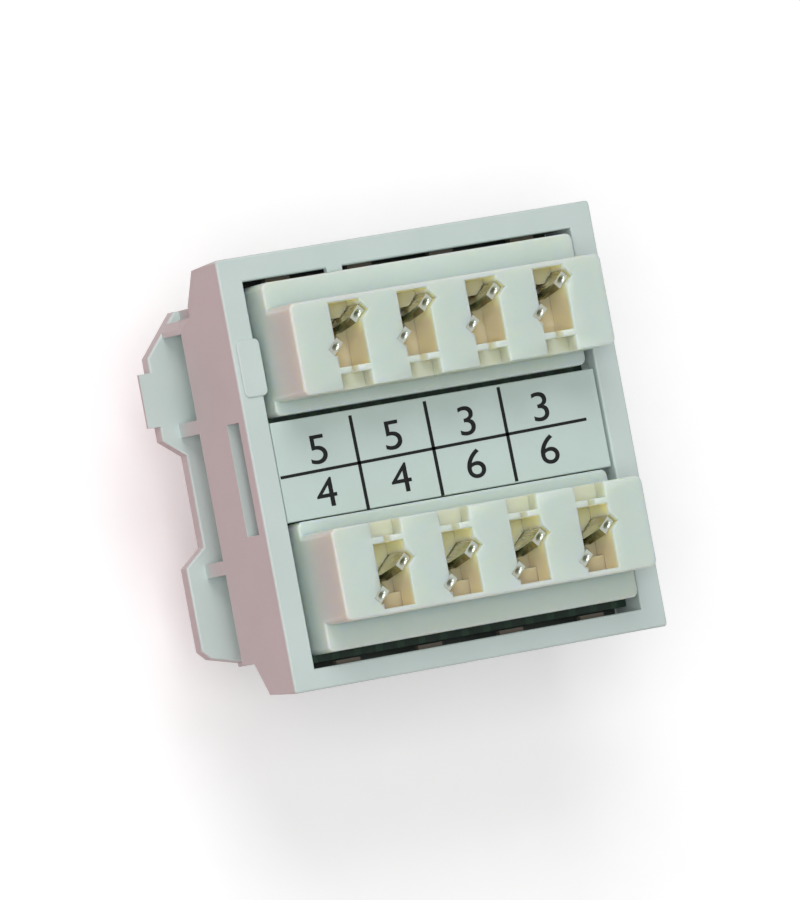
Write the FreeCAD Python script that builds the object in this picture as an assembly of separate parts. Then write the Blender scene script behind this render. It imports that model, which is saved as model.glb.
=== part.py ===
"""Snap-in telephone jack module, lying on its plug mouth with the wiring side up.

Millimetres. X runs along the rows of wire slots, Y from the lower row to the upper row, Z from the
plug mouth (Z = 0) to the wiring side. The origin is the middle of the module in the mouth's plane.
The frame grows from what it holds: label, blocks, ribs and bars add up to its outer size.
"""
import FreeCAD
import Part
import math
import os

Vector = FreeCAD.Vector
SAME = 1e-6                  # lengths closer than this count as equal

# Rear frame and body of the housing
FRAME_CORNER = 0.18          # radius of the frame's upright edges
FRAME_EDGE = 0.12            # radius of its rear edges, outside and round the opening
SIDE_BAR = 1.35              # left and right bars round the opening
END_BAR = 1.17               # upper and lower bars, before the opening is set down
OPENING_DROP = 0.1           # opening below the frame's middle
RIM_BELOW_BOARD = 0.1        # frame below the board before the body slopes in
RIM_DRAFT = 0.2              # how far the rim's ends lean in over its height
BODY_INSET = 1.9             # how far the body stands in from the frame, above and below
BODY_SLOPE = 1.05            # height of that slope
BODY_FLOOR = 1.45
BODY_END_WALL = 1.1
FLOOR_DROP = 1.2             # body floor in front of the contact carrier
BOARD_LEDGE = 0.65           # width of the side ledges that carry the board

# Plug mouth and snout
PLUG_WIDTH = 11.7
PLUG_HEIGHT = 6.7
PLUG_CLEARANCE = 0.1         # all round the plug
MOUTH_TOP = 4.15             # Y of the mouth's contact side
KEY_WIDTH = 6.2              # channel for the plug's latch, wide step
KEY_DEPTH = 1.55
LATCH_WIDTH = 3.6            # and narrow step
LATCH_DEPTH = 1.3
LATCH_SPACE = 1.4            # free space under the latch
MOUTH_WALL = 1.6
MOUTH_RIM = 0.35             # recessed rim round the mouth, as wide as deep
SNOUT_SIDE_WALL = 1.05
SNOUT_END_WALL = 0.9
PLUG_SPACE = 9.2             # from the mouth to the carrier that stops the plug

# Side windows, snap pads, ribs and the moulding nub of the frame
WINDOW_MARGIN = 0.315        # window longer than the label, at each end
WINDOW_TOP = 0.7             # depth of the window's upper edge below the rear face
WINDOW_HEIGHT = 1.23
PAD_MIDDLE = 5.4             # Y of the snap pad's middle
PAD_LENGTH = 2.9
PAD_MARGIN = 0.25            # from the frame's outer face
PAD_OVERHANG = 0.22
PAD_RISE = 0.12
PAD_CORNER = 0.3
PAD_EDGE = 0.08
RIBS_PER_BAR = 4
RIB_PITCH = 4.8
RIB_WIDTH = 1.4
RIB_RISE = 0.21
RIB_TOP = 0.85               # depth of the ribs' tops below the rear face
NUB_X = -4.35
NUB_WIDTH = 0.9
NUB_RISE = 0.22
NUB_HEIGHT = 0.3

# Mounting ears at the level of the body's floor, from the upper end of each side to the lower end
EAR_THICKNESS = 0.65
EAR_EDGE = 0.12
EAR_REACH = 1.05             # out from the side wall
LEAD_INSET = 0.9             # where the slanted start leaves the body's end, in from the side wall
EAR_LEAD = 2.1               # length of the slanted start
TOOTH_START = 0.75           # past the slanted start
TOOTH_LENGTH = 2.75
TOOTH_RISE = 0.7
TOOTH_EDGE = 0.15            # thickness of the tooth at its tip
EAR_TAIL = 0.75              # upper ear past the tooth
EAR_STEP = 0.9               # length of the slanted steps beside the ledge
LEDGE_INSET = 0.15           # ledge between the ears, in from the side wall
LEDGE_LENGTH = 4.7
LOWER_EAR_MARGIN = 0.65      # lower ear to the body's end
LOWER_EAR_CORNER = 0.45
GROOVE_HEIGHT = 1.95         # open groove in the side wall above the ears
GROOVE_DEPTH = 1.2
POST_WIDTH = 0.7             # posts that join ears and wall across the groove
POST_MARGIN = 0.55           # first post to the body's upper end

# Circuit board
BOARD_THICKNESS = 1.2
BOARD_GAP = 1.1              # between the carrier and the board
BOARD_SIDE_CLEARANCE = 0.1
BOARD_END_CLEARANCE = 0.08   # to the ribs that it passes on its way in
HOLE_CLEARANCE = 0.1         # in diameter

# Wire blocks
SLOTS_PER_BLOCK = 4
SLOT_PITCH = 4.0
SLOT_SIDE_MARGIN = 2.25      # block face beyond the outer slots
BLOCK_RISE = 3.24            # block face above the rear face
BLOCK_SIDE_GAP = 0.52        # block to the opening's side
BLOCK_FACE = 4.675           # short side of the block face
BLOCK_CORNER = 0.35
BLOCK_EDGE = 0.12
INNER_SHELF = 0.67           # shelf along the inner side, level with the rear face
OUTER_SHELF = 1.33           # shelf along the outer side
OUTER_SHELF_RISE = 0.85      # above the rear face
BLOCK_SHIFT = 0.1            # blocks above the frame's middle
BLOCK_GAP = 0.05             # upper block to the ribs
SLOT_WIDTH = 1.76
SLOT_FLARE = 0.07            # upper edges of the slots, broken at 45 degrees
SLOT_DEPTH = 1.9
SLOT_END_WALL = 0.29
SLOT_LENGTH = 3.27
SLOT_STEP_LENGTH = 0.75      # shallow end of the slot
SLOT_STEP_DEPTH = 1.3
NECK_WIDTH = 0.4
NECK_LENGTH = 0.33
NOTCH_DEPTH = 0.9

# Forked contacts
BLADE_WIDTH = 3.0
BLADE_THICKNESS = 0.45
BLADE_ANGLE = 43.0
BLADE_FROM_EDGE = 1.75       # middle of the blade from the block face's outer edge
BLADE_BELOW_FACE = 0.3
BLADE_CLEARANCE = 0.05       # all round the blade in its pocket
TINE_TIP = 0.85
FORK_DEPTH = 1.0             # slanted lead-in of the fork
FORK_GAP = 0.3
FORK_GAP_LENGTH = 1.3
PIN_WIDTH = 0.6
PIN_BELOW_BOARD = 0.7

# Label plate
LABEL_HEIGHT = 5.07          # between the blocks
LABEL_GAP = 0.06             # to the lower block
LABEL_SIDE_GAP = 0.1
LABEL_INSET = 0.15           # label below the rear face
LABEL_EDGE = 0.08
LABEL_SKIN = 0.55
LABEL_SKIRT = 0.5
LABEL_CLEARANCE = 0.18       # over the wire ends
TONGUE_REACH = 0.65
TONGUE_MARGIN = 0.23         # tongue shorter than the label, at each end
TONGUE_THICKNESS = 0.45
TONGUE_CLEARANCE = 0.05

# Contact carrier and spring wires
CARRIER_PLATE = 1.2
CARRIER_CLEARANCE = 0.1
CARRIER_SIDE_MARGIN = 1.5    # plate to the sides of the body's space
CARRIER_END_MARGIN = 1.0     # plate to the end of the body's space
COMB_HEIGHT = 2.75
COMB_PLAY = 0.08             # each side of a wire
COMB_POSITIONS = 8
FOOT_SPACING = 10.4
FOOT_Y = -2.4
FOOT_RADIUS = 0.8
WIRE_COUNT = 4
WIRE_DIAMETER = 0.45
WIRE_PITCH = 1.02
WIRE_BEND = 0.4              # radius at the middle of the wire
WIRE_TURN = 0.35             # foot of the slanted limb above the plug
WIRE_FRONT_GAP = 0.75        # wire to the mouth wall
WIRE_TIP_DROP = 1.85         # free tip below the mouth's contact side
WIRE_TIP_GAP = 0.7           # free tip to the carrier plate
WIRE_ROW_SPACING = 0.9       # between the two rows of wire holes in the board
WIRE_ABOVE_BOARD = 0.42

# Solder
SOLDER_SPREAD = 0.15         # wider than the hole, in radius
SOLDER_HEIGHT = 0.38
SOLDER_CROWN = 0.06          # wider than the pin or wire at its tip, in radius

# Levels in Z, from the mouth up
BODY_FLOOR_TOP = PLUG_SPACE - FLOOR_DROP
BODY_BOTTOM = BODY_FLOOR_TOP - BODY_FLOOR
CARRIER_TOP = PLUG_SPACE + CARRIER_PLATE
BOARD_BOTTOM = CARRIER_TOP + BOARD_GAP
BOARD_TOP = BOARD_BOTTOM + BOARD_THICKNESS
LABEL_TOP = BOARD_TOP + WIRE_ABOVE_BOARD + LABEL_CLEARANCE + LABEL_SKIN
REAR_FACE = LABEL_TOP + LABEL_INSET
BLOCK_TOP = REAR_FACE + BLOCK_RISE
RIM_BOTTOM = BOARD_BOTTOM - RIM_BELOW_BOARD
SLOPE_BOTTOM = RIM_BOTTOM - BODY_SLOPE
EAR_TOP = BODY_BOTTOM + EAR_THICKNESS
GROOVE_TOP = EAR_TOP + GROOVE_HEIGHT

# Lines in Y, from the label out to the frame's edge
LABEL_Y = LABEL_HEIGHT / 2
INNER_FOOT = LABEL_Y + LABEL_GAP + BLOCK_SHIFT
INNER_EDGE = INNER_FOOT + INNER_SHELF
OUTER_EDGE = INNER_EDGE + BLOCK_FACE
OUTER_FOOT = OUTER_EDGE + OUTER_SHELF
RIB_FACE = OUTER_FOOT + BLOCK_SHIFT + BLOCK_GAP + OPENING_DROP
OPENING_Y = RIB_FACE + RIB_RISE
FRAME_Y = OPENING_Y + END_BAR
BODY_Y = FRAME_Y - BODY_INSET
SPACE_Y = BODY_Y - BODY_END_WALL
BLADE_Y = OUTER_EDGE - BLADE_FROM_EDGE

# Lines in X, from the block's end out to the frame's edge
BLOCK_X = (SLOTS_PER_BLOCK - 1) * SLOT_PITCH / 2 + SLOT_WIDTH / 2 + SLOT_SIDE_MARGIN
OPENING_X = BLOCK_X + BLOCK_SIDE_GAP
FRAME_X = OPENING_X + SIDE_BAR
SPACE_X = OPENING_X - BOARD_LEDGE
GROOVE_X = FRAME_X - GROOVE_DEPTH

# Lines of the plug mouth and the spring wires
MOUTH_X = PLUG_WIDTH / 2 + PLUG_CLEARANCE
MOUTH_BOTTOM = MOUTH_TOP - PLUG_HEIGHT - 2 * PLUG_CLEARANCE
KEY_BOTTOM = MOUTH_BOTTOM - KEY_DEPTH
LATCH_BOTTOM = KEY_BOTTOM - LATCH_DEPTH
SNOUT_LOW = LATCH_BOTTOM - LATCH_SPACE
COMB_TOP = MOUTH_TOP + COMB_HEIGHT
SNOUT_HIGH = COMB_TOP + CARRIER_CLEARANCE
WIRE_LEG_Y = MOUTH_TOP + WIRE_TURN + 2 * WIRE_BEND


def box(x0, x1, y0, y1, z0, z1):
    return Part.makeBox(x1 - x0, y1 - y0, z1 - z0, Vector(x0, y0, z0))


def centred_box(half_x, half_y, z0, z1):
    return box(-half_x, half_x, -half_y, half_y, z0, z1)


def prism(points, travel):
    """Solid from a flat outline of points, pushed along a vector."""
    return Part.Face(Part.makePolygon(points + points[:1])).extrude(travel)


def prism_along_x(points_yz, x0, x1):
    return prism([Vector(x0, y, z) for y, z in points_yz], Vector(x1 - x0, 0, 0))


def prism_along_z(points_xy, z0, z1):
    return prism([Vector(x, y, z0) for x, y in points_xy], Vector(0, 0, z1 - z0))


def upright_edges(shape):
    """Edges that rise from the bottom to the top of the shape."""
    full = shape.BoundBox.ZLength
    return [edge for edge in shape.Edges if edge.BoundBox.ZLength > 0.99 * full]


def edges_at_level(shape, z):
    return [edge for edge in shape.Edges
            if abs(edge.BoundBox.ZMin - z) < SAME and abs(edge.BoundBox.ZMax - z) < SAME]


def both_sides(shape):
    """The shape and its mirror image on the other side in X."""
    return [shape, shape.mirror(Vector(0, 0, 0), Vector(1, 0, 0))]


def half_turn(shape):
    turned = shape.copy()
    turned.rotate(Vector(0, 0, 0), Vector(0, 0, 1), 180)
    return turned


def moved(shape, distance):
    """The shape itself, moved along Y."""
    shape.translate(Vector(0, distance, 0))
    return shape


def row(count, pitch):
    """Places of a centred row."""
    return [(index - (count - 1) / 2) * pitch for index in range(count)]


def groove():
    """Open groove along the left side from the body's underside up, higher at its upper end."""
    low = box(-FRAME_X, -GROOVE_X, -BODY_Y, BODY_Y, BODY_BOTTOM, GROOVE_TOP)
    notch = box(-FRAME_X, -GROOVE_X, BODY_Y - POST_MARGIN, BODY_Y, GROOVE_TOP, SLOPE_BOTTOM)
    return low.fuse(notch)


def ears():
    """Mounting ears of the left side as one flange with a tooth, and the posts that carry them."""
    reach = -FRAME_X - EAR_REACH
    ledge = -FRAME_X + LEDGE_INSET
    lead_end = BODY_Y - EAR_LEAD
    tooth_high = lead_end - TOOTH_START
    tooth_low = tooth_high - TOOTH_LENGTH
    upper_end = tooth_low - EAR_TAIL
    ledge_high = upper_end - EAR_STEP
    ledge_low = ledge_high - LEDGE_LENGTH
    lower_start = ledge_low - EAR_STEP
    lower_end = -BODY_Y + LOWER_EAR_MARGIN
    outline = [(-SPACE_X, BODY_Y), (-FRAME_X + LEAD_INSET, BODY_Y), (reach, lead_end), (reach, upper_end),
               (ledge, ledge_high), (ledge, ledge_low), (reach, lower_start),
               (reach, lower_end + LOWER_EAR_CORNER), (reach + LOWER_EAR_CORNER, lower_end),
               (-SPACE_X, -BODY_Y)]
    flange = prism_along_z(outline, BODY_BOTTOM, EAR_TOP)
    flange = flange.makeFillet(EAR_EDGE, edges_at_level(flange, EAR_TOP))
    post_ends = [BODY_Y - POST_MARGIN, upper_end + POST_WIDTH, lower_start]
    posts = [box(-FRAME_X, -SPACE_X, high - POST_WIDTH, high, BODY_BOTTOM, GROOVE_TOP)
             for high in post_ends]
    posts = Part.makeCompound(posts).common(prism_along_z(outline, BODY_BOTTOM, GROOVE_TOP))
    tip = reach - TOOTH_RISE
    tooth = prism([Vector(reach, tooth_low, BODY_BOTTOM), Vector(tip, tooth_low, EAR_TOP - TOOTH_EDGE),
                   Vector(tip, tooth_low, EAR_TOP), Vector(reach + EAR_EDGE, tooth_low, EAR_TOP),
                   Vector(reach + EAR_EDGE, tooth_low, BODY_BOTTOM)], Vector(0, TOOTH_LENGTH, 0))
    return flange.multiFuse([posts, tooth])


def snap_pad():
    """Raised pad on the left bar that overhangs the opening."""
    pad = box(-FRAME_X + PAD_MARGIN, -OPENING_X + PAD_OVERHANG, PAD_MIDDLE - PAD_LENGTH / 2,
              PAD_MIDDLE + PAD_LENGTH / 2, REAR_FACE, REAR_FACE + PAD_RISE)
    pad = pad.makeFillet(PAD_CORNER, upright_edges(pad))
    return pad.makeFillet(PAD_EDGE, edges_at_level(pad, REAR_FACE + PAD_RISE))


def mouth(grow, z0, z1):
    """Plug mouth with its two-step latch channel, pushed from z0 to z1."""
    steps = [(MOUTH_X, MOUTH_BOTTOM), (KEY_WIDTH / 2, KEY_BOTTOM), (LATCH_WIDTH / 2, LATCH_BOTTOM)]
    boxes = [box(-half - grow, half + grow, low - grow, MOUTH_TOP + grow, z0, z1) for half, low in steps]
    return boxes[0].multiFuse(boxes[1:])


def end_ribs():
    """Short ribs on the inner faces of the upper and lower bars that centre the blocks."""
    ribs = []
    for x in row(RIBS_PER_BAR, RIB_PITCH):
        rib = box(x - RIB_WIDTH / 2, x + RIB_WIDTH / 2, RIB_FACE, OPENING_Y, BOARD_TOP, REAR_FACE - RIB_TOP)
        ribs += [rib, half_turn(rib)]
    return ribs


def housing():
    frame = centred_box(FRAME_X, FRAME_Y, BODY_BOTTOM, REAR_FACE)
    frame = frame.makeFillet(FRAME_CORNER, upright_edges(frame))
    frame = frame.cut(moved(centred_box(OPENING_X, OPENING_Y, BOARD_BOTTOM, REAR_FACE), -OPENING_DROP))
    frame = frame.makeFillet(FRAME_EDGE, edges_at_level(frame, REAR_FACE))
    upper_side = [(BODY_Y, BODY_BOTTOM), (BODY_Y, SLOPE_BOTTOM),
                  (FRAME_Y - RIM_DRAFT, RIM_BOTTOM), (FRAME_Y, REAR_FACE)]
    lower_side = [(-y, z) for y, z in reversed(upper_side)]
    body = frame.common(prism_along_x(upper_side + lower_side, -FRAME_X, FRAME_X))
    snout_x = MOUTH_X + SNOUT_SIDE_WALL
    snout = box(-snout_x, snout_x, SNOUT_LOW - SNOUT_END_WALL, SNOUT_HIGH + SNOUT_END_WALL, 0, BODY_BOTTOM)
    outside = body.fuse(snout).cut(Part.makeCompound(both_sides(groove())))
    outside = outside.multiFuse(both_sides(ears()))

    space = centred_box(SPACE_X, SPACE_Y, BODY_FLOOR_TOP, BOARD_BOTTOM)
    plug_space = box(-MOUTH_X, MOUTH_X, SNOUT_LOW, SNOUT_HIGH, MOUTH_WALL, BODY_FLOOR_TOP)
    window_y = LABEL_Y + WINDOW_MARGIN
    window_top = REAR_FACE - WINDOW_TOP
    window = box(-FRAME_X, -OPENING_X, -window_y, window_y, window_top - WINDOW_HEIGHT, window_top)
    hollows = [space, plug_space, mouth(0, 0, MOUTH_WALL), mouth(MOUTH_RIM, 0, MOUTH_RIM)]
    shell = outside.cut(Part.makeCompound(hollows + both_sides(window)))

    rail = box(-MOUTH_X, -KEY_WIDTH / 2, SNOUT_LOW, MOUTH_BOTTOM, MOUTH_WALL, PLUG_SPACE)
    nub = box(NUB_X - NUB_WIDTH / 2, NUB_X + NUB_WIDTH / 2, OPENING_Y - NUB_RISE, OPENING_Y + FRAME_EDGE,
              REAR_FACE - NUB_HEIGHT, REAR_FACE)
    inner = both_sides(rail) + both_sides(snap_pad())
    inner += [moved(shape, -OPENING_DROP) for shape in end_ribs() + [nub]]
    return shell.multiFuse(inner).removeSplitter()


def flared_cut(x0, x1, y0, y1, z0):
    """Straight cut from the block's face down to z0, wider at its upper edges."""
    flare = Part.makeWedge(x0, BLOCK_TOP - SLOT_FLARE, -y1, -y1 - SLOT_FLARE, x0 - SLOT_FLARE,
                           x1, BLOCK_TOP, -y0, -y0 + SLOT_FLARE, x1 + SLOT_FLARE)
    flare.rotate(Vector(0, 0, 0), Vector(1, 0, 0), 90)
    return box(x0, x1, y0, y1, z0, BLOCK_TOP).fuse(flare)


def blade_pocket(x):
    """Upright pocket for one blade, at the blade's angle."""
    half_width = BLADE_WIDTH / 2 + BLADE_CLEARANCE
    half_thickness = BLADE_THICKNESS / 2 + BLADE_CLEARANCE
    return set_blade(flared_cut(-half_width, half_width, -half_thickness, half_thickness, BOARD_TOP), x)


def set_blade(shape, x):
    """Turn what is drawn along X to the blade's angle and put it in a slot of the upper block."""
    shape.rotate(Vector(0, 0, 0), Vector(0, 0, 1), BLADE_ANGLE)
    shape.translate(Vector(x, BLADE_Y, 0))
    return shape


def slot_cuts(x):
    """One wire slot: the channel with its shallow end, the neck, the open notch and the blade pocket."""
    left = x - SLOT_WIDTH / 2
    right = x + SLOT_WIDTH / 2
    outer = OUTER_EDGE - SLOT_END_WALL
    step = outer - SLOT_STEP_LENGTH
    inner = outer - SLOT_LENGTH
    neck_end = inner - NECK_LENGTH
    notch_floor = BLOCK_TOP - NOTCH_DEPTH
    return [flared_cut(left, right, inner, step, BLOCK_TOP - SLOT_DEPTH),
            flared_cut(left, right, step, outer, BLOCK_TOP - SLOT_STEP_DEPTH),
            flared_cut(x - NECK_WIDTH / 2, x + NECK_WIDTH / 2, neck_end, inner, notch_floor),
            flared_cut(left, right, INNER_FOOT, neck_end, notch_floor),
            blade_pocket(x)]


def block_step(y0, y1, top):
    """Step of the block over its full length, with round corners and upper edges."""
    step = box(-BLOCK_X, BLOCK_X, y0, y1, BOARD_TOP, top)
    step = step.makeFillet(BLOCK_CORNER, upright_edges(step))
    return step.makeFillet(BLOCK_EDGE, edges_at_level(step, top))


def upper_block():
    """Block with a shelf along each long side, about the frame's middle."""
    foot = block_step(INNER_FOOT, OUTER_FOOT, REAR_FACE)
    shelf = block_step(INNER_EDGE, OUTER_FOOT, REAR_FACE + OUTER_SHELF_RISE)
    top = block_step(INNER_EDGE, OUTER_EDGE, BLOCK_TOP)
    cuts = [cut for x in row(SLOTS_PER_BLOCK, SLOT_PITCH) for cut in slot_cuts(x)]
    return top.multiFuse([shelf, foot]).cut(Part.makeCompound(cuts)).removeSplitter()


def upper_contact(x):
    """Forked blade with a slanted lead-in between its tines and a pin through the board."""
    half = BLADE_WIDTH / 2
    gap = FORK_GAP / 2
    pin = PIN_WIDTH / 2
    top = BLOCK_TOP - BLADE_BELOW_FACE
    fork = top - FORK_DEPTH
    right = [(gap, fork - FORK_GAP_LENGTH), (gap, fork), (half - TINE_TIP, top), (half, top),
             (half, BOARD_TOP), (pin, BOARD_TOP), (pin, BOARD_BOTTOM - PIN_BELOW_BOARD)]
    left = [(-across, z) for across, z in reversed(right)]
    points = [Vector(across, -BLADE_THICKNESS / 2, z) for across, z in right + left]
    return set_blade(prism(points, Vector(0, BLADE_THICKNESS, 0)), x)


def pin_radius():
    """Radius of the circle round a blade's pin."""
    return math.hypot(PIN_WIDTH, BLADE_THICKNESS) / 2


def hole_radius(radius):
    return radius + HOLE_CLEARANCE / 2


def wire_places():
    """X of each spring wire and Y of its hole in the board, in two staggered rows."""
    places = []
    for index, x in enumerate(row(WIRE_COUNT, WIRE_PITCH)):
        side = 1 if index % 2 else -1
        places.append((x, side * WIRE_ROW_SPACING / 2))
    return places


def circuit_board():
    board = moved(centred_box(OPENING_X - BOARD_SIDE_CLEARANCE, RIB_FACE - BOARD_END_CLEARANCE,
                              BOARD_BOTTOM, BOARD_TOP), -OPENING_DROP)
    pin_hole = hole_radius(pin_radius())
    wire_hole = hole_radius(WIRE_DIAMETER / 2)
    holes = []
    for x in row(SLOTS_PER_BLOCK, SLOT_PITCH):
        hole = Part.makeCylinder(pin_hole, BOARD_THICKNESS, Vector(x, BLADE_Y, BOARD_BOTTOM))
        holes += [moved(each, BLOCK_SHIFT) for each in (half_turn(hole), hole)]
    for x, y in wire_places():
        holes.append(Part.makeCylinder(wire_hole, BOARD_THICKNESS, Vector(x, y, BOARD_BOTTOM)))
    return board.cut(Part.makeCompound(holes))


def label_plate():
    """Printed plate, hollow underneath, with a tongue for the window in each side bar."""
    half_x = OPENING_X - LABEL_SIDE_GAP
    tongue_y = LABEL_Y - TONGUE_MARGIN
    tongue_top = REAR_FACE - WINDOW_TOP - TONGUE_CLEARANCE
    tongue = box(-half_x - TONGUE_REACH, -half_x, -tongue_y, tongue_y,
                 tongue_top - TONGUE_THICKNESS, tongue_top)
    plate = centred_box(half_x, LABEL_Y, BOARD_TOP, LABEL_TOP)
    plate = plate.makeFillet(LABEL_EDGE, edges_at_level(plate, LABEL_TOP)).multiFuse(both_sides(tongue))
    hollow = centred_box(half_x - LABEL_SKIRT, LABEL_Y - LABEL_SKIRT, BOARD_TOP, LABEL_TOP - LABEL_SKIN)
    return plate.cut(hollow)


def contact_carrier():
    """Comb above the plug with a plate behind it, standing off the board on two feet."""
    comb_x = MOUTH_X - CARRIER_CLEARANCE
    comb = box(-comb_x, comb_x, MOUTH_TOP, COMB_TOP, MOUTH_WALL + CARRIER_CLEARANCE, CARRIER_TOP)
    plate_x = SPACE_X - CARRIER_SIDE_MARGIN
    plate = box(-plate_x, plate_x, -SPACE_Y + CARRIER_END_MARGIN, COMB_TOP, PLUG_SPACE, CARRIER_TOP)
    foot = Part.makeCylinder(FOOT_RADIUS, BOARD_GAP, Vector(-FOOT_SPACING / 2, FOOT_Y, CARRIER_TOP))
    slot_half = WIRE_DIAMETER / 2 + COMB_PLAY
    slots = [box(x - slot_half, x + slot_half, MOUTH_TOP, WIRE_LEG_Y + slot_half, MOUTH_WALL, CARRIER_TOP)
             for x in row(COMB_POSITIONS, WIRE_PITCH)]
    return comb.multiFuse([plate] + both_sides(foot)).cut(Part.makeCompound(slots)).removeSplitter()


def rounded_path(points, radius):
    """Wire through the points, straight runs joined by tangent arcs."""
    edges = []
    start = points[0]
    for before, corner, after in zip(points, points[1:], points[2:]):
        toward = (before - corner).normalize()
        away = (after - corner).normalize()
        half_angle = toward.getAngle(away) / 2
        tangent = radius / math.tan(half_angle)
        middle = (toward + away).normalize()
        arc_start = corner + toward * tangent
        arc_middle = corner + middle * (radius / math.sin(half_angle) - radius)
        arc_end = corner + away * tangent
        edges.append(Part.LineSegment(start, arc_start).toShape())
        edges.append(Part.Arc(arc_start, arc_middle, arc_end).toShape())
        start = arc_end
    edges.append(Part.LineSegment(start, points[-1]).toShape())
    return Part.Wire(edges)


def spring_wire(x, hole_y):
    """Round wire from its board hole, along the comb, round its front bend and back as a slanted limb."""
    front = MOUTH_WALL + WIRE_FRONT_GAP + WIRE_DIAMETER / 2
    jog = CARRIER_TOP + BOARD_GAP / 2
    route = [(hole_y, BOARD_TOP + WIRE_ABOVE_BOARD), (hole_y, jog), (WIRE_LEG_Y, jog), (WIRE_LEG_Y, front),
             (MOUTH_TOP + WIRE_TURN, front), (MOUTH_TOP - WIRE_TIP_DROP, PLUG_SPACE - WIRE_TIP_GAP)]
    points = [Vector(x, y, z) for y, z in route]
    section = Part.Wire(Part.makeCircle(WIRE_DIAMETER / 2, points[0], Vector(0, 0, -1)))
    return rounded_path(points, WIRE_BEND).makePipeShell([section], True, False)


def solder_cone(radius, base, direction):
    """Cone of solder on a hole in the board, round a pin or wire of the given radius."""
    return Part.makeCone(hole_radius(radius) + SOLDER_SPREAD, radius + SOLDER_CROWN, SOLDER_HEIGHT,
                         base, direction)


def solder_joints():
    """Solder under the board round the blade pins and over the board round the wires."""
    joints = []
    for x in row(SLOTS_PER_BLOCK, SLOT_PITCH):
        cone = solder_cone(pin_radius(), Vector(x, BLADE_Y, BOARD_BOTTOM), Vector(0, 0, -1))
        joint = cone.cut(upper_contact(x))
        joints += [moved(each, BLOCK_SHIFT) for each in (half_turn(joint), joint)]
    for x, y in wire_places():
        base = Vector(x, y, BOARD_TOP)
        cone = solder_cone(WIRE_DIAMETER / 2, base, Vector(0, 0, 1))
        joints.append(cone.cut(Part.makeCylinder(WIRE_DIAMETER / 2, SOLDER_HEIGHT, base)))
    return Part.makeCompound([solid for joint in joints for solid in joint.Solids])


def pieces():
    block = upper_block()
    found = {"housing": housing(), "circuit_board": circuit_board(), "label_plate": label_plate(),
             "contact_carrier": contact_carrier(), "lower_idc_block": moved(half_turn(block), BLOCK_SHIFT),
             "upper_idc_block": moved(block, BLOCK_SHIFT), "solder_joints": solder_joints()}
    for number, x in enumerate(row(SLOTS_PER_BLOCK, SLOT_PITCH), start=1):
        contact = upper_contact(x)
        found[f"lower_contact_{number}"] = moved(half_turn(contact), BLOCK_SHIFT)
        found[f"upper_contact_{number}"] = moved(contact, BLOCK_SHIFT)
    for number, (x, y) in enumerate(wire_places(), start=1):
        found[f"spring_wire_{number}"] = spring_wire(x, y)
    return found


os.makedirs("parts", exist_ok=True)
for name, shape in pieces().items():
    bounds = shape.optimalBoundingBox()
    print(f"{name}: {len(shape.Solids)} solid, valid {shape.isValid()}, {shape.Volume:.2f} mm3, "
          f"X {bounds.XMin:.2f} to {bounds.XMax:.2f}, Y {bounds.YMin:.2f} to {bounds.YMax:.2f}, "
          f"Z {bounds.ZMin:.2f} to {bounds.ZMax:.2f}")
    shape.exportStep(f"parts/{name}.step")
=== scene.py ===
# %% [markdown]
# A snap-in telephone jack module, seen from the side on which its wires are punched down.
# The solids come ready made at their real size. Blender gives them what a bench photo shows: the soft
# edges of moulded plastic, tin and bronze, printed numbers, and the light of a bright room.
# Everything is in metres, with +Z out of the wiring side and the plug mouth on the floor at Z = 0.

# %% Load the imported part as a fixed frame
import math

import bmesh
import bpy
from mathutils import Matrix, Vector


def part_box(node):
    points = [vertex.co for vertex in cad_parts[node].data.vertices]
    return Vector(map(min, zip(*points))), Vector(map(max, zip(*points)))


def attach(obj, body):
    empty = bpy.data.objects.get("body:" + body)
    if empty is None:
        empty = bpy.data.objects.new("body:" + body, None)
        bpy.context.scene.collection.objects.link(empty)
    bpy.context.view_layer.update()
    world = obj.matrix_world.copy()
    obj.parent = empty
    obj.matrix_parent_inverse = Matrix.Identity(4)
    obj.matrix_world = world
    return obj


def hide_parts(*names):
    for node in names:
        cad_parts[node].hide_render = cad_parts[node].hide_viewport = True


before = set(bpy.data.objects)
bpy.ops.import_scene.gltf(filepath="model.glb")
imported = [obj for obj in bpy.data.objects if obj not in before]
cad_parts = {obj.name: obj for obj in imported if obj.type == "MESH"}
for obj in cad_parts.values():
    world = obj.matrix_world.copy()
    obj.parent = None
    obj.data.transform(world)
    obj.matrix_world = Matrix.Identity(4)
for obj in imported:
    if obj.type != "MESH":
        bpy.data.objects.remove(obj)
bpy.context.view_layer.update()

MM = 0.001
print("nodes:", ", ".join(sorted(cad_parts)))

# %% [markdown]
# The places that later steps need are read off the solids, so that nothing is typed twice. A node's box
# gives the label's upper face, the blocks' faces and the board's two sides.

# %% Read the levels and places off the solids
LABEL_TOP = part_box("label_plate")[1].z
BLOCK_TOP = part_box("upper_idc_block")[1].z
board_low, board_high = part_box("circuit_board")
CONTACTS = [f"{row}_contact_{number}" for row in ("upper", "lower") for number in range(1, 5)]
BLADE_MIDDLES = {node: sum(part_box(node), Vector()) / 2 for node in CONTACTS}
BLADE_PITCH = BLADE_MIDDLES["upper_contact_2"].x - BLADE_MIDDLES["upper_contact_1"].x
BLADE_ANGLE = math.radians(43.0)
ROWS_MIDDLE = (BLADE_MIDDLES["upper_contact_1"].y + BLADE_MIDDLES["lower_contact_1"].y) / 2
ROW_Y = BLADE_MIDDLES["upper_contact_1"].y - ROWS_MIDDLE
WIRES = [f"spring_wire_{number}" for number in range(1, 5)]
print(f"label at {LABEL_TOP / MM:.2f} mm, block faces at {BLOCK_TOP / MM:.2f} mm")

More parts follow.
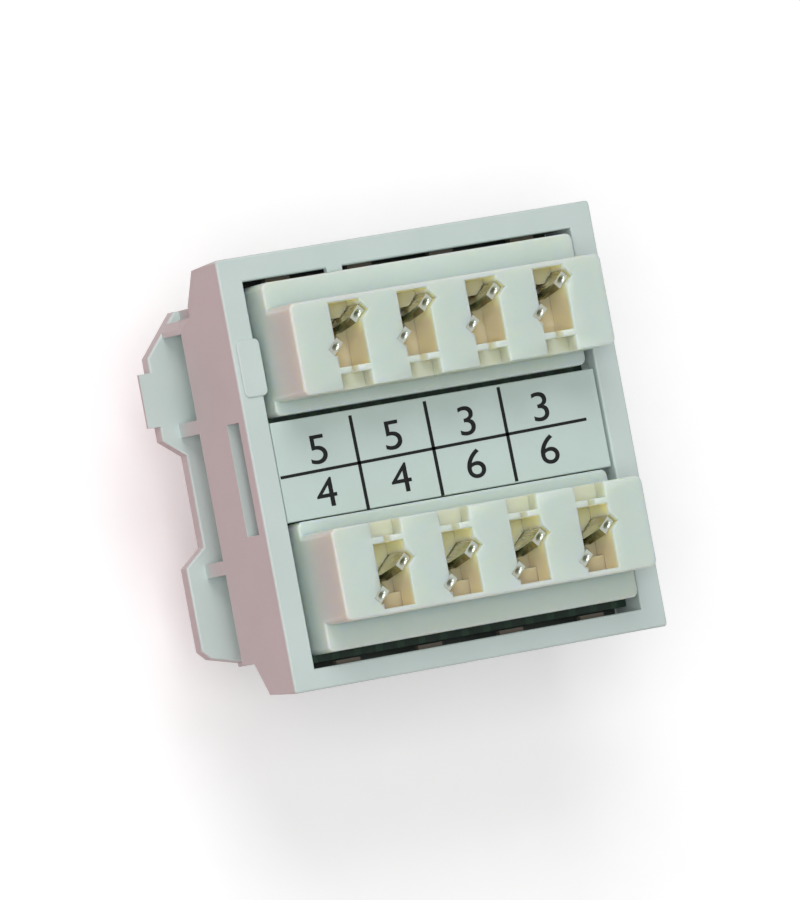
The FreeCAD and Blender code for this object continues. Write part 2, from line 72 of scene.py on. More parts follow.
# %% [markdown]
# The camera comes first, because every later choice is judged through it. A long lens from 0.62 m
# flattens the picture as the photographer's did. The view is given as a turn round the object, a height
# above the floor and a roll of the camera, which a reader can change one at a time.

# %% Set the camera
VIEW_AZIMUTH = math.radians(-87.39)
VIEW_ELEVATION = math.radians(60.10)
VIEW_ROLL = math.radians(77.17)
VIEW_DISTANCE = 0.620
VIEW_AIM = Vector((-1.909, 0.139, 12.907)) * MM
FOCAL_PIXELS = 12320
PICTURE_HEIGHT = 900
SENSOR = 36.0


def direction(azimuth, elevation):
    """Unit vector from the object to a viewer. Azimuth 0 is a viewer on the -Y side."""
    flat = math.cos(elevation)
    return Vector((flat * math.sin(azimuth), -flat * math.cos(azimuth), math.sin(elevation)))


def make_camera():
    lens = bpy.data.cameras.new("camera")
    lens.sensor_fit = "VERTICAL"
    lens.sensor_height = SENSOR
    lens.lens = SENSOR * FOCAL_PIXELS / PICTURE_HEIGHT
    camera = bpy.data.objects.new("camera", lens)
    bpy.context.scene.collection.objects.link(camera)
    toward_viewer = direction(VIEW_AZIMUTH, VIEW_ELEVATION)
    level = (-toward_viewer).to_track_quat("-Z", "Y").to_matrix().to_4x4()
    place = Matrix.Translation(VIEW_AIM + toward_viewer * VIEW_DISTANCE)
    camera.matrix_world = place @ level @ Matrix.Rotation(VIEW_ROLL, 4, "Z")
    bpy.context.scene.camera = camera
    return camera


camera = make_camera()
print(f"lens {camera.data.lens:.0f} mm at {[round(place, 3) for place in camera.location]} m")

# %% [markdown]
# Shader trees are easier to read when adding a node takes one line. This helper makes a node, sets its
# options, and fills its inputs: a plain value is typed into the socket, and another node's output is linked.

# %% Small helpers for shader trees
def add_node(tree, kind, options=None, **inputs):
    made = tree.nodes.new(kind)
    for option, value in (options or {}).items():
        setattr(made, option, value)
    for name, value in inputs.items():
        fill(tree, made.inputs[name.replace("_", " ")], value)
    return made


def fill(tree, socket, value):
    if isinstance(value, bpy.types.NodeSocket):
        tree.links.new(value, socket)
    else:
        socket.default_value = value


def calculate(tree, operation, first, second=0.0):
    made = add_node(tree, "ShaderNodeMath", {"operation": operation})
    fill(tree, made.inputs[0], first)
    fill(tree, made.inputs[1], second)
    return made.outputs[0]


def mix_colours(tree, share, first, second):
    """Colour that goes from first to second as share goes from 0 to 1."""
    made = add_node(tree, "ShaderNodeMix", {"data_type": "RGBA"})
    fill(tree, made.inputs[0], share)
    fill(tree, made.inputs[6], first)
    fill(tree, made.inputs[7], second)
    return made.outputs[2]


def spread(tree, value, low, high, to_low=0.0, to_high=1.0):
    """Map a range of values to another one, smoothly and without going past its ends."""
    made = add_node(tree, "ShaderNodeMapRange", {"interpolation_type": "SMOOTHSTEP"}, Value=value,
                    From_Min=low, From_Max=high, To_Min=to_low, To_Max=to_high)
    return made.outputs[0]


def noise(tree, where, size, detail=2.0):
    """Cloudy pattern whose blotches are about the given size."""
    return add_node(tree, "ShaderNodeTexNoise", Vector=where, Scale=1 / size, Detail=detail).outputs[0]


def stretched(tree, where, stretch):
    return add_node(tree, "ShaderNodeMapping", Vector=where, Scale=stretch).outputs[0]


def new_finish(name):
    """New material, its tree, its surface shader and the object's own coordinates."""
    finish = bpy.data.materials.new(name)
    finish.use_nodes = True
    tree = finish.node_tree
    where = add_node(tree, "ShaderNodeTexCoord").outputs["Object"]
    return finish, tree, tree.nodes["Principled BSDF"], where


def to_repaint(finish):
    """A finish's tree and surface, its colour so far, and the three axes of the object's coordinates."""
    tree = finish.node_tree
    surface = tree.nodes["Principled BSDF"]
    colour = surface.inputs["Base Color"].links[0].from_socket
    where = add_node(tree, "ShaderNodeTexCoord").outputs["Object"]
    return tree, surface, colour, add_node(tree, "ShaderNodeSeparateXYZ", Vector=where).outputs


def add_bump(tree, surface, height, depth):
    bump = add_node(tree, "ShaderNodeBump", Strength=1.0, Distance=depth, Height=height)
    tree.links.new(bump.outputs[0], surface.inputs["Normal"])


print("helpers ready")

# %% [markdown]
# Three lights make the bright room. A broad lamp hangs on the viewer's side, so that whatever the viewer
# sees is lit, down to the floors of the slots. A window behind the module is a square lamp too, wide enough
# to cast the long soft shadow of the upper block on the label. The room itself is the world's light, which
# leans a little toward the viewer. Together they light a face that looks up at a level of about one, so a
# colour renders about as it is written. To the camera and in mirrors the room is white, so the tin shines.

# %% Light the scene
WINDOW_FROM = Vector((-0.30, 0.85, 1.0)).normalized()
WINDOW_DISTANCE = 0.55
WINDOW_SIZE = 0.28
WINDOW_LEVEL = 0.30
LAMP_FROM = direction(VIEW_AZIMUTH, math.radians(60.0))
LAMP_DISTANCE = 0.60
LAMP_SIZE = 0.30
LAMP_LEVEL = 0.34
ROOM_LEVEL = 0.34
ROOM_LEAN = (-0.15, -0.30, 0.10)


def soft_lamp(name, toward_lamp, distance, size, level):
    """Square lamp that lights a white face looking up by the given level."""
    lamp = bpy.data.lights.new(name, "AREA")
    lamp.shape = "SQUARE"
    lamp.size = size
    lamp.energy = level / toward_lamp.z * math.pi ** 2 * distance ** 2
    holder = bpy.data.objects.new(name, lamp)
    bpy.context.scene.collection.objects.link(holder)
    holder.location = toward_lamp * distance
    holder.rotation_euler = (-toward_lamp).to_track_quat("-Z", "Y").to_euler()
    return holder


def seen_directly(tree):
    """One for rays from the camera, a mirror or a clear body, and nought for light that is passed on."""
    rays = add_node(tree, "ShaderNodeLightPath").outputs
    mirrored = calculate(tree, "MAXIMUM", rays["Is Glossy Ray"], rays["Is Transmission Ray"])
    return calculate(tree, "MAXIMUM", rays["Is Camera Ray"], mirrored)


def light_world():
    world = bpy.data.worlds.new("room")
    world.use_nodes = True
    tree = world.node_tree
    toward = add_node(tree, "ShaderNodeTexCoord").outputs["Object"]
    lean = add_node(tree, "ShaderNodeVectorMath", {"operation": "DOT_PRODUCT"})
    fill(tree, lean.inputs[0], toward)
    fill(tree, lean.inputs[1], ROOM_LEAN)
    level = calculate(tree, "MULTIPLY", calculate(tree, "ADD", lean.outputs["Value"], 1.0), ROOM_LEVEL)
    shown = calculate(tree, "MAXIMUM", level, seen_directly(tree))
    tree.links.new(shown, tree.nodes["Background"].inputs["Strength"])
    tree.nodes["Background"].inputs["Color"].default_value = (1, 1, 1, 1)
    bpy.context.scene.world = world


window = soft_lamp("window", WINDOW_FROM, WINDOW_DISTANCE, WINDOW_SIZE, WINDOW_LEVEL)
lamp = soft_lamp("viewer_lamp", LAMP_FROM, LAMP_DISTANCE, LAMP_SIZE, LAMP_LEVEL)
light_world()
bpy.context.scene.view_settings.view_transform = "Standard"
print(f"window {window.data.energy:.2f} W, lamp {lamp.data.energy:.2f} W, room at level {ROOM_LEVEL}")

# %% [markdown]
# The floor has two jobs. To the camera it is white paper that keeps the module's shadow. To light that is
# passed on it is rosy on the viewer's side, which tints the wall that looks that way. A little glow for
# the camera alone lifts the paper to clean white without any more light on the module.

# %% Lay the floor
FLOOR_SIZE = 4.0
FLOOR_DROP = 0.005 * MM
FLOOR_WHITE = (0.88, 0.88, 0.88, 1)
FLOOR_PLAIN = (0.50, 0.54, 0.53, 1)
FLOOR_ROSY = (0.66, 0.04, 0.10, 1)
ROSY_ENDS_X = 0.0
ROSY_FULL_X = -8.0 * MM
FLOOR_GLOW = 0.24


def make_floor():
    finish, tree, surface, where = new_finish("paper_floor")
    direct = seen_directly(tree)
    fibres = spread(tree, noise(tree, where, 2 * MM, 3), 0.2, 0.8, 0.985, 1.0)
    along_x = add_node(tree, "ShaderNodeSeparateXYZ", Vector=where).outputs["X"]
    rosy = spread(tree, along_x, ROSY_FULL_X, ROSY_ENDS_X, 1.0, 0.0)
    passed_on = mix_colours(tree, rosy, FLOOR_PLAIN, FLOOR_ROSY)
    shade = mix_colours(tree, direct, passed_on, FLOOR_WHITE)
    paper = add_node(tree, "ShaderNodeVectorMath", {"operation": "SCALE"}, Vector=shade, Scale=fibres)
    tree.links.new(paper.outputs[0], surface.inputs["Base Color"])
    surface.inputs["Roughness"].default_value = 1.0
    surface.inputs["Specular IOR Level"].default_value = 0.0
    surface.inputs["Emission Color"].default_value = (1, 1, 1, 1)
    tree.links.new(calculate(tree, "MULTIPLY", direct, FLOOR_GLOW), surface.inputs["Emission Strength"])
    mesh = bpy.data.meshes.new("floor")
    half = FLOOR_SIZE / 2
    corners = [(-half, -half), (half, -half), (half, half), (-half, half)]
    mesh.from_pydata([(x, y, -FLOOR_DROP) for x, y in corners], [], [(0, 1, 2, 3)])
    mesh.materials.append(finish)
    floor = bpy.data.objects.new("floor", mesh)
    bpy.context.scene.collection.objects.link(floor)
    return floor


make_floor()
print("floor laid")

# %% [markdown]
# Moulded plastic is never one flat colour. Its tone drifts in faint clouds, its face has the fine grain
# that spark erosion left in the mould, and the gloss follows that grain. One function makes all the
# plastics, and each plastic gets its own colours and grain. In the gaps above and below the blocks the
# housing gets painted shade with a little of the board's green: it is painted brown and then black with
# depth.

# %% Plastics
HOUSING_WHITE = (0.534, 0.618, 0.597, 1)
HOUSING_SHADE = (0.514, 0.600, 0.577, 1)
LABEL_WHITE = (0.520, 0.618, 0.592, 1)
LABEL_SHADE = (0.500, 0.598, 0.568, 1)
CARRIER_WHITE = (0.540, 0.570, 0.520, 1)
CARRIER_SHADE = (0.500, 0.530, 0.480, 1)
CLOUD_SIZE = 3.5 * MM
GRAIN_DEPTH = 0.006 * MM
GLOSS_SWING = 0.07
# Painted shade for the gaps round the board: the ribs are painted brown and the depths black, where shade
# falls.
RIB_PAINTED_SHADE = (0.125, 0.105, 0.080, 1)
GAP_PAINTED_SHADOW = (0.045, 0.062, 0.050, 1)
RIB_TOP = 13.16 * MM
GAP_SOFT = 0.25 * MM
GAP_FLOOR = board_low.z - 0.05 * MM
GAP_END_X = board_high.x
GAP_OUTER_Y = 9.94 * MM


def moulded_plastic(name, tone, shade, roughness, grain):
    finish, tree, surface, where = new_finish(name)
    clouds = spread(tree, noise(tree, where, CLOUD_SIZE, 4), 0.3, 0.7)
    grains = noise(tree, where, grain, 3)
    tree.links.new(mix_colours(tree, clouds, tone, shade), surface.inputs["Base Color"])
    gloss = spread(tree, grains, 0.25, 0.75, roughness - GLOSS_SWING, roughness + GLOSS_SWING)
    tree.links.new(gloss, surface.inputs["Roughness"])
    add_bump(tree, surface, grains, GRAIN_DEPTH)
    return finish


def paint_gap_shade(finish):
    """Paint shade into the finish by depth in the narrow gaps above and below the blocks."""
    tree, surface, tone, axes = to_repaint(finish)
    inside = calculate(tree, "GREATER_THAN", axes["Z"], GAP_FLOOR)
    for axis, end in (("X", GAP_END_X), ("Y", GAP_OUTER_Y)):
        near = calculate(tree, "LESS_THAN", calculate(tree, "ABSOLUTE", axes[axis]), end)
        inside = calculate(tree, "MULTIPLY", inside, near)
    # Painted shade: brown below the ribs' tops, then black below the board's top.
    for level, shade in ((RIB_TOP, RIB_PAINTED_SHADE), (board_high.z, GAP_PAINTED_SHADOW)):
        below = spread(tree, axes["Z"], level, level + GAP_SOFT, 1.0, 0.0)
        tone = mix_colours(tree, calculate(tree, "MULTIPLY", below, inside), tone, shade)
    tree.links.new(tone, surface.inputs["Base Color"])


housing_plastic = moulded_plastic("housing_plastic", HOUSING_WHITE, HOUSING_SHADE,
                                  roughness=0.48, grain=0.16 * MM)
paint_gap_shade(housing_plastic)
label_plastic = moulded_plastic("label_plastic", LABEL_WHITE, LABEL_SHADE,
                                roughness=0.42, grain=0.22 * MM)
carrier_plastic = moulded_plastic("carrier_plastic", CARRIER_WHITE, CARRIER_SHADE,
                                  roughness=0.50, grain=0.20 * MM)
print("plastics:", housing_plastic.name, label_plastic.name, carrier_plastic.name)

# %% [markdown]
# The wire blocks are made of a natural ivory plastic that lets light in, and the faces get subsurface
# scattering. Down in the slots the light that has passed through the plastic many times is painted into
# the colour by depth below the block's face: painted tan below the blade, painted olive shade above it, and
# a little painted yellow in the shallow notches. The slots' steps and floors get painted shade that dulls
# them.

# %% Ivory of the wire blocks
IVORY = (0.588, 0.685, 0.640, 1)
IVORY_SHADE = (0.573, 0.665, 0.605, 1)
# Painted light and shade for the slots and notches: yellow and tan for light passed through the plastic,
# olive for the shaded half above the blade, and the dark one for painted shade on steps and floors.
NOTCH_PAINTED_YELLOW = (0.600, 0.630, 0.490, 1)
SLOT_PAINTED_TAN = (0.720, 0.640, 0.420, 1)
SLOT_PAINTED_OLIVE = (0.840, 0.820, 0.500, 1)
SLOT_SHADOW = (0.120, 0.090, 0.060, 1)
STEP_SHARE = 0.38
FLOOR_SHARE = 0.15
TINT_STARTS = 0.02 * MM
TINT_FULL = 0.40 * MM
NOTCHES_Y = 3.35 * MM
SLOTS_INNER_Y = 4.45 * MM
STEPS_Y = 6.97 * MM
STEP_DEPTH = 1.30 * MM
SLOT_DEPTH = 1.90 * MM
FLOOR_SOFT = 0.03 * MM
HALVES_SOFT = 0.40 * MM
SLOTS_OUTER_Y = 7.80 * MM
SLOTS_END_X = 7.60 * MM
SLOTS_SOFT = 0.05 * MM
IVORY_GRAIN = 0.20 * MM
GLOW_BY_COLOUR = (1.0, 0.85, 0.45)
GLOW_DEPTH = 1.2 * MM


def ivory_plastic():
    finish = moulded_plastic("block_ivory", IVORY, IVORY_SHADE, roughness=0.44, grain=IVORY_GRAIN)
    tree, surface, tinted, axes = to_repaint(finish)
    depth = calculate(tree, "SUBTRACT", BLOCK_TOP, axes["Z"])
    from_middle = calculate(tree, "SUBTRACT", axes["Y"], ROWS_MIDDLE)
    across = calculate(tree, "ABSOLUTE", from_middle)
    off_middle = calculate(tree, "ABSOLUTE", axes["X"])
    inside = 1.0
    for value, limit in ((across, SLOTS_OUTER_Y), (off_middle, SLOTS_END_X)):
        inside = calculate(tree, "MULTIPLY", inside, spread(tree, value, limit - SLOTS_SOFT,
                                                            limit + SLOTS_SOFT, 1.0, 0.0))
    off_blade = calculate(tree, "MULTIPLY", calculate(tree, "SUBTRACT", across, ROW_Y),
                          calculate(tree, "SIGN", from_middle))
    # The half above the blade is painted olive shade and the half below painted tan light, as the light
    # falls from one side.
    upper_half = spread(tree, off_blade, -HALVES_SOFT, HALVES_SOFT)
    painted_slot_tint = mix_colours(tree, upper_half, SLOT_PAINTED_TAN, SLOT_PAINTED_OLIVE)
    # Painted light and shade by depth: yellow in the notches, tan and olive in the slots, painted shade on
    # the outer steps and the floors.
    for start, shallow, deep, share, tint in (
            (NOTCHES_Y, TINT_STARTS, TINT_FULL, 1.0, NOTCH_PAINTED_YELLOW),
            (SLOTS_INNER_Y, TINT_STARTS, TINT_FULL, 1.0, painted_slot_tint),
            (STEPS_Y, STEP_DEPTH - FLOOR_SOFT, STEP_DEPTH, STEP_SHARE, SLOT_SHADOW),
            (SLOTS_INNER_Y, SLOT_DEPTH - FLOOR_SOFT, SLOT_DEPTH, FLOOR_SHARE, SLOT_SHADOW)):
        past_start = spread(tree, across, start - SLOTS_SOFT, start + SLOTS_SOFT)
        low_enough = spread(tree, depth, shallow, deep, 0.0, share)
        deep_part = calculate(tree, "MULTIPLY", past_start, low_enough)
        tinted = mix_colours(tree, calculate(tree, "MULTIPLY", inside, deep_part), tinted, tint)
    tree.links.new(tinted, surface.inputs["Base Color"])
    surface.inputs["Subsurface Weight"].default_value = 1.0
    surface.inputs["Subsurface Radius"].default_value = GLOW_BY_COLOUR
    surface.inputs["Subsurface Scale"].default_value = GLOW_DEPTH
    return finish


block_ivory = ivory_plastic()
print("ivory with tan slots:", block_ivory.name)

# %% [markdown]
# The metals are all rolled, drawn or melted, and each trade leaves its own marks. Strip and wire show
# streaks along the way they were pulled, which are noise stretched along one axis. Solder freezes in soft
# dimples. The cut edges of the strip show bronze, because the tin is only on its faces. The tip of each
# tine was coined in the press, and the dimple that this left glints in the slots; the dimple's middle is
# painted near black as a painted dark reflection.

# %% Metals
TIN = (0.800, 0.790, 0.760, 1)
TIN_GREY = (0.560, 0.550, 0.520, 1)
# Painted dark reflection for the middle of each coined dimple.
DIMPLE_PAINTED_DARK = (0.110, 0.120, 0.100, 1)
CUT_TIN = (0.470, 0.510, 0.445, 1)
CUT_BRONZE = (0.440, 0.430, 0.350, 1)
GOLD = (0.830, 0.620, 0.270, 1)
GOLD_DARK = (0.680, 0.470, 0.180, 1)
SOLDER = (0.720, 0.720, 0.710, 1)
SOLDER_GREY = (0.520, 0.520, 0.510, 1)
ALONG_Z = (1.0, 1.0, 0.12)
EVEN = (1.0, 1.0, 1.0)
TIP_MIDDLE = 1.075 * MM
DIMPLE_LENGTH = 0.34 * MM
DIMPLE_WIDTH = 0.18 * MM
DIMPLE_DEPTH = 0.08 * MM


def metal(name, bright, dull, mark_size, stretch, smooth, rough, depth):
    finish, tree, surface, where = new_finish(name)
    marks = noise(tree, stretched(tree, where, stretch), mark_size, 4)
    stains = noise(tree, where, 5 * mark_size, 2)
    tree.links.new(mix_colours(tree, spread(tree, stains, 0.40, 0.75), bright, dull),
                   surface.inputs["Base Color"])
    tree.links.new(spread(tree, marks, 0.3, 0.7, smooth, rough), surface.inputs["Roughness"])
    surface.inputs["Metallic"].default_value = 1.0
    add_bump(tree, surface, marks, depth)
    return finish


def coined_tips(finish):
    """Press a dimple into the finish at every tine's tip, found from the pitch and angle of the blades.
    Its middle is painted near black, a painted dark reflection.
    """
    tree, surface, skin, axes = to_repaint(finish)
    cell = calculate(tree, "FLOORED_MODULO", axes["X"], BLADE_PITCH)
    x = calculate(tree, "SUBTRACT", cell, BLADE_PITCH / 2)
    across = calculate(tree, "SUBTRACT", axes["Y"], ROWS_MIDDLE)
    off_row = calculate(tree, "SUBTRACT", calculate(tree, "ABSOLUTE", across), ROW_Y)
    y = calculate(tree, "MULTIPLY", off_row, calculate(tree, "SIGN", axes["Y"]))
    flat = add_node(tree, "ShaderNodeCombineXYZ", X=x, Y=y).outputs[0]
    turned = add_node(tree, "ShaderNodeVectorRotate", {"rotation_type": "Z_AXIS"}, Vector=flat,
                      Angle=-BLADE_ANGLE).outputs[0]
    local = add_node(tree, "ShaderNodeSeparateXYZ", Vector=turned).outputs
    from_tip = calculate(tree, "SUBTRACT", calculate(tree, "ABSOLUTE", local["X"]), TIP_MIDDLE)
    sides = add_node(tree, "ShaderNodeCombineXYZ", X=calculate(tree, "DIVIDE", from_tip, DIMPLE_LENGTH),
                     Y=calculate(tree, "DIVIDE", local["Y"], DIMPLE_WIDTH)).outputs[0]
    reach = add_node(tree, "ShaderNodeVectorMath", {"operation": "LENGTH"}, Vector=sides).outputs["Value"]
    rim = spread(tree, reach, 0.15, 1.0)
    # Painted dark reflection: the middle of each dimple is painted near black, and the rim keeps the tin.
    tree.links.new(mix_colours(tree, rim, DIMPLE_PAINTED_DARK, skin), surface.inputs["Base Color"])
    add_bump(tree, surface, rim, DIMPLE_DEPTH)


tin_face = metal("tinned_strip", TIN, TIN_GREY, mark_size=0.25 * MM, stretch=ALONG_Z,
                 smooth=0.22, rough=0.34, depth=0.001 * MM)
cut_edge = metal("sheared_edge", CUT_TIN, CUT_BRONZE, mark_size=0.30 * MM, stretch=EVEN,
                 smooth=0.10, rough=0.22, depth=0.020 * MM)
coined_tips(cut_edge)
gold_wire = metal("plated_wire", GOLD, GOLD_DARK, mark_size=0.08 * MM, stretch=ALONG_Z,
                  smooth=0.18, rough=0.32, depth=0.002 * MM)
solder_metal = metal("solder", SOLDER, SOLDER_GREY, mark_size=0.20 * MM, stretch=EVEN,
                     smooth=0.20, rough=0.42, depth=0.010 * MM)
print("metals:", tin_face.name, cut_edge.name, gold_wire.name, solder_metal.name)

# %% [markdown]
# The circuit board shows only as a dark green strip in the gap round the blocks. Its solder mask lies
# over straight copper tracks, which shine through as paler bands with soft edges.

# %% Solder mask of the board
MASK_GREEN = (0.014, 0.032, 0.021, 1)
TRACK_GREEN = (0.022, 0.056, 0.034, 1)
TRACK_PITCH = 1.27 * MM
TRACK_WIDTH = 0.40 * MM
TRACK_SOFT = 0.06 * MM
TRACK_RISE = 0.015 * MM


def solder_mask():
    finish, tree, surface, where = new_finish("solder_mask")
    axes = add_node(tree, "ShaderNodeSeparateXYZ", Vector=where).outputs
    swing = calculate(tree, "PINGPONG", axes["X"], TRACK_PITCH / 2)
    track = spread(tree, swing, TRACK_WIDTH / 2 - TRACK_SOFT, TRACK_WIDTH / 2 + TRACK_SOFT, 1.0, 0.0)
    cloth = noise(tree, where, 0.25 * MM, 3)
    tree.links.new(mix_colours(tree, track, MASK_GREEN, TRACK_GREEN), surface.inputs["Base Color"])
    tree.links.new(spread(tree, cloth, 0.3, 0.7, 0.30, 0.45), surface.inputs["Roughness"])
    surface.inputs["Specular IOR Level"].default_value = 0.25
    add_bump(tree, surface, track, TRACK_RISE)
    return finish


board_mask = solder_mask()
print("board:", board_mask.name)

# %% [markdown]
# The solids have their rounded edges already, but as loose flat triangles, and flat triangles make a
# rounded edge look like cut glass. So each moulding is copied, its triangles are joined at their corners,
# and the shading runs smoothly over every edge that bends less than a set angle. Weighted normals let the
# large faces win: they stay flat to the light and only the rounded edges carry the bend. The copy then
# stands in for its solid, with the same form.

# %% Smooth the mouldings
MERGE_DISTANCE = 0.0005 * MM
EDGE_ANGLE = math.radians(46.0)


def joined_copy(node):
    """New mesh with a node's triangles joined at their corners and only its true edges sharp."""
    shape = bmesh.new()
    shape.from_mesh(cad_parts[node].data)
    bmesh.ops.remove_doubles(shape, verts=shape.verts, dist=MERGE_DISTANCE)
    shape.verts.index_update()
    places = [corner.co.copy() for corner in shape.verts]
    faces = [[corner.index for corner in face.verts] for face in shape.faces]
    shape.free()
    mesh = bpy.data.meshes.new(node)
    mesh.from_pydata(places, [], faces)
    mesh.shade_smooth()
    mesh.set_sharp_from_angle(angle=EDGE_ANGLE)
    return mesh


def baked(holder):
    """The holder's mesh with its modifiers worked in, and no modifiers left."""
    evaluated = holder.evaluated_get(bpy.context.evaluated_depsgraph_get())
    mesh = bpy.data.meshes.new_from_object(evaluated)
    holder.modifiers.clear()
    holder.data = mesh
    mesh.name = holder.name
    return holder


def smooth_piece(node, name, finishes, paint=None):
    """Piece that stands for a node, smoothly shaded. paint sorts its faces to the finishes."""
    mesh = joined_copy(node)
    for finish in finishes:
        mesh.materials.append(finish)
    if paint:
        for face in mesh.polygons:
            face.material_index = paint(face)
    piece = bpy.data.objects.new(name, mesh)
    bpy.context.scene.collection.objects.link(piece)
    weighted = piece.modifiers.new("flat faces", "WEIGHTED_NORMAL")
    weighted.keep_sharp = True
    baked(piece)
    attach(piece, "root")
    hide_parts(node)
    return piece


def count_faces(pieces):
    return sum(len(piece.data.polygons) for piece in pieces)


mouldings = [smooth_piece("housing", "housing_moulding", [housing_plastic]),
             smooth_piece("label_plate", "label_moulding", [label_plastic])]
for row in ("upper", "lower"):
    block = smooth_piece(f"{row}_idc_block", f"{row}_block_moulding", [block_ivory])
    mouldings.append(block)
print(len(mouldings), "mouldings with", count_faces(mouldings), "faces")

# %% [markdown]
# The forked contacts are stamped from tinned strip. The two broad faces keep the smooth tin, and all the
# cut faces get the sheared finish. The faces are told apart by how squarely they look along the strip's
# thickness.

# %% Stamped contacts
THICKNESS_WAY = Vector((-math.sin(BLADE_ANGLE), math.cos(BLADE_ANGLE), 0))
BROAD_FACE = 0.9


def tin_or_cut(face):
    return 0 if abs(face.normal.dot(THICKNESS_WAY)) > BROAD_FACE else 1


for node in CONTACTS:
    blade = smooth_piece(node, f"{node}_blade", [tin_face, cut_edge], tin_or_cut)
print(len(CONTACTS), "contacts stamped")

# %% [markdown]
# The board, the carrier, the spring wires and the solder keep their solids, because their shapes are right
# and they sit deep inside. They only get their finishes.

# %% Finish the inner pieces
def finish_node(node, finish):
    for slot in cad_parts[node].material_slots:
        slot.material = finish


finish_node("circuit_board", board_mask)
finish_node("contact_carrier", carrier_plastic)
for node in WIRES:
    finish_node(node, gold_wire)
finish_node("solder_joints", solder_metal)
print("inner pieces finished")

# %% [markdown]
# The label is printed with a grid of thin black lines. The lines repeat at one pitch, which is what
# Geometry Nodes are for: a row of points, a bar on each point, and one bar across. The print came out a
# degree askew on the real plate, so the grid is turned by that much.

# %% Printed grid of the label
PRINT_RISE = 0.012 * MM
PRINT_TILT = math.radians(0.95)
PRINT_MIDDLE = Vector((-0.52, -0.10, 0)) * MM
COLUMN_PITCH = 4.385 * MM
UPRIGHT_WIDTH = 0.19 * MM
ACROSS_WIDTH = 0.155 * MM
UPRIGHT_LENGTH = 4.85 * MM
ACROSS_LENGTH = 18.1 * MM
ACROSS_SHIFT = 0.06 * MM
INK_BLACK = (0.006, 0.007, 0.007, 1)
INK_GREY = (0.016, 0.017, 0.016, 1)


def printing_ink():
    finish, tree, surface, where = new_finish("printing_ink")
    specks = noise(tree, where, 0.12 * MM, 4)
    tree.links.new(mix_colours(tree, spread(tree, specks, 0.45, 0.75), INK_BLACK, INK_GREY),
                   surface.inputs["Base Color"])
    tree.links.new(spread(tree, specks, 0.3, 0.7, 0.60, 0.75), surface.inputs["Roughness"])
    surface.inputs["Specular IOR Level"].default_value = 0.2
    return finish


def grid_tree():
    """Node tree for uprights at a pitch with one line across them."""
    tree = bpy.data.node_groups.new("label grid", "GeometryNodeTree")
    tree.interface.new_socket("Geometry", in_out="OUTPUT", socket_type="NodeSocketGeometry")
    for name in ("Pitch", "Upright width", "Upright length", "Across width", "Across length", "Across shift",
                 "Thickness"):
        tree.interface.new_socket(name, in_out="INPUT", socket_type="NodeSocketFloat")
    tree.interface.new_socket("Uprights", in_out="INPUT", socket_type="NodeSocketInt")
    tree.interface.new_socket("Ink", in_out="INPUT", socket_type="NodeSocketMaterial")
    given = tree.nodes.new("NodeGroupInput").outputs
    offset = add_node(tree, "ShaderNodeCombineXYZ", X=given["Pitch"]).outputs[0]
    uprights = calculate(tree, "SUBTRACT", given["Uprights"], 1.0)
    first = calculate(tree, "MULTIPLY", calculate(tree, "MULTIPLY", uprights, -0.5), given["Pitch"])
    start = add_node(tree, "ShaderNodeCombineXYZ", X=first).outputs[0]
    line = add_node(tree, "GeometryNodeMeshLine", {"mode": "OFFSET"}, Count=given["Uprights"],
                    Start_Location=start, Offset=offset).outputs[0]
    upright_size = add_node(tree, "ShaderNodeCombineXYZ", X=given["Upright width"],
                            Y=given["Upright length"], Z=given["Thickness"]).outputs[0]
    bar = add_node(tree, "GeometryNodeMeshCube", Size=upright_size).outputs[0]
    bars = add_node(tree, "GeometryNodeInstanceOnPoints", Points=line, Instance=bar).outputs[0]
    across_size = add_node(tree, "ShaderNodeCombineXYZ", X=given["Across length"],
                           Y=given["Across width"], Z=given["Thickness"]).outputs[0]
    across = add_node(tree, "GeometryNodeMeshCube", Size=across_size).outputs[0]
    shift = add_node(tree, "ShaderNodeCombineXYZ", X=given["Across shift"]).outputs[0]
    moved = add_node(tree, "GeometryNodeTransform", Geometry=across, Translation=shift).outputs[0]
    joined = add_node(tree, "GeometryNodeJoinGeometry")
    tree.links.new(bars, joined.inputs[0])
    tree.links.new(moved, joined.inputs[0])
    real = add_node(tree, "GeometryNodeRealizeInstances", Geometry=joined.outputs[0]).outputs[0]
    inked = add_node(tree, "GeometryNodeSetMaterial", Geometry=real, Material=given["Ink"]).outputs[0]
    tree.links.new(inked, tree.nodes.new("NodeGroupOutput").inputs[0])
    return tree


def grown_piece(name, tree, **inputs):
    """Piece made by a node tree, turned into a plain mesh."""
    piece = bpy.data.objects.new(name, bpy.data.meshes.new(name))
    bpy.context.scene.collection.objects.link(piece)
    grower = piece.modifiers.new("grow", "NODES")
    grower.node_group = tree
    for socket in tree.interface.items_tree:
        if socket.in_out == "INPUT":
            grower[socket.identifier] = inputs[socket.name.replace(" ", "_")]
    return baked(piece)


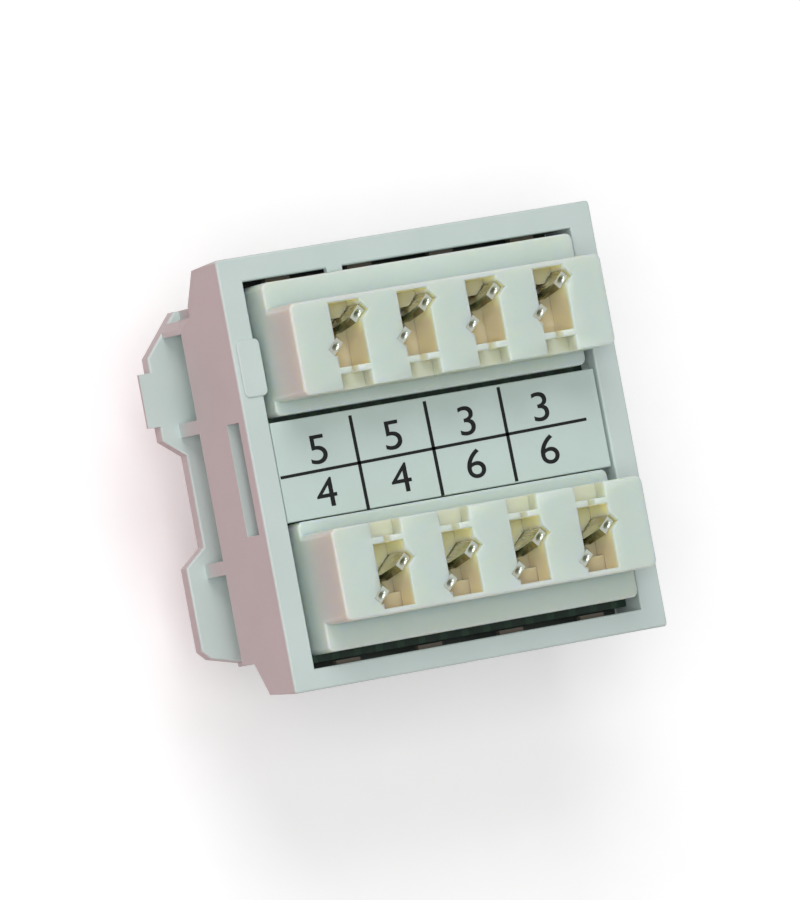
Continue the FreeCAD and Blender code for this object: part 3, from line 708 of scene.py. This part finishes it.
ink = printing_ink()
grid = grown_piece("label_grid", grid_tree(), Pitch=COLUMN_PITCH, Upright_width=UPRIGHT_WIDTH,
                   Upright_length=UPRIGHT_LENGTH, Across_width=ACROSS_WIDTH, Across_length=ACROSS_LENGTH,
                   Across_shift=ACROSS_SHIFT, Thickness=PRINT_RISE, Uprights=3, Ink=ink)
on_label = Matrix.Translation(PRINT_MIDDLE + Vector((0, 0, LABEL_TOP + PRINT_RISE / 2)))
print_turn = Matrix.Rotation(PRINT_TILT, 4, "Z")
grid.data.transform(on_label @ print_turn)
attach(grid, "root")
print("grid with", len(grid.data.polygons), "faces")

# %% [markdown]
# The numbers tell which pin of the plug each pair of slots leads to. Text objects give clean figures. Each
# figure is turned into a mesh, moved to its cell and joined with the others, so that one piece holds them
# all. The rows and columns follow the grid's own pitch and tilt.

# %% Printed numbers of the label
FIGURE_ROWS = ("5533", "4466")
FIGURE_HEIGHT = 1.55 * MM
FIGURE_RATIO = 0.73
FIGURE_STRETCH = 1.20
ROW_STEP = 2.21 * MM
ROW_SHIFT = 0.01 * MM
COLUMN_SHIFT = 0.03 * MM


def figure_mesh(figure):
    text = bpy.data.curves.new("figure", "FONT")
    text.body = figure
    text.size = FIGURE_HEIGHT / FIGURE_RATIO
    text.align_x = "CENTER"
    text.extrude = PRINT_RISE / 2
    holder = bpy.data.objects.new("figure", text)
    bpy.context.scene.collection.objects.link(holder)
    mesh = bpy.data.meshes.new_from_object(holder.evaluated_get(bpy.context.evaluated_depsgraph_get()))
    bpy.data.objects.remove(holder)
    return mesh


def printed_numbers():
    joined = bmesh.new()
    for row_number, row in enumerate(FIGURE_ROWS):
        for column, figure in enumerate(row):
            mesh = figure_mesh(figure)
            x = (column - (len(row) - 1) / 2) * COLUMN_PITCH + COLUMN_SHIFT
            y = (0.5 - row_number) * ROW_STEP - FIGURE_HEIGHT / 2 + ROW_SHIFT
            stretch = Matrix.Diagonal((FIGURE_STRETCH, 1, 1, 1))
            mesh.transform(on_label @ print_turn @ Matrix.Translation((x, y, 0)) @ stretch)
            joined.from_mesh(mesh)
            bpy.data.meshes.remove(mesh)
    bmesh.ops.remove_doubles(joined, verts=joined.verts, dist=MERGE_DISTANCE)
    bmesh.ops.recalc_face_normals(joined, faces=joined.faces)
    mesh = bpy.data.meshes.new("label_numbers")
    joined.to_mesh(mesh)
    joined.free()
    mesh.materials.append(ink)
    piece = bpy.data.objects.new("label_numbers", mesh)
    bpy.context.scene.collection.objects.link(piece)
    return piece


numbers = printed_numbers()
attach(numbers, "root")
print("numbers with", len(numbers.data.polygons), "faces")
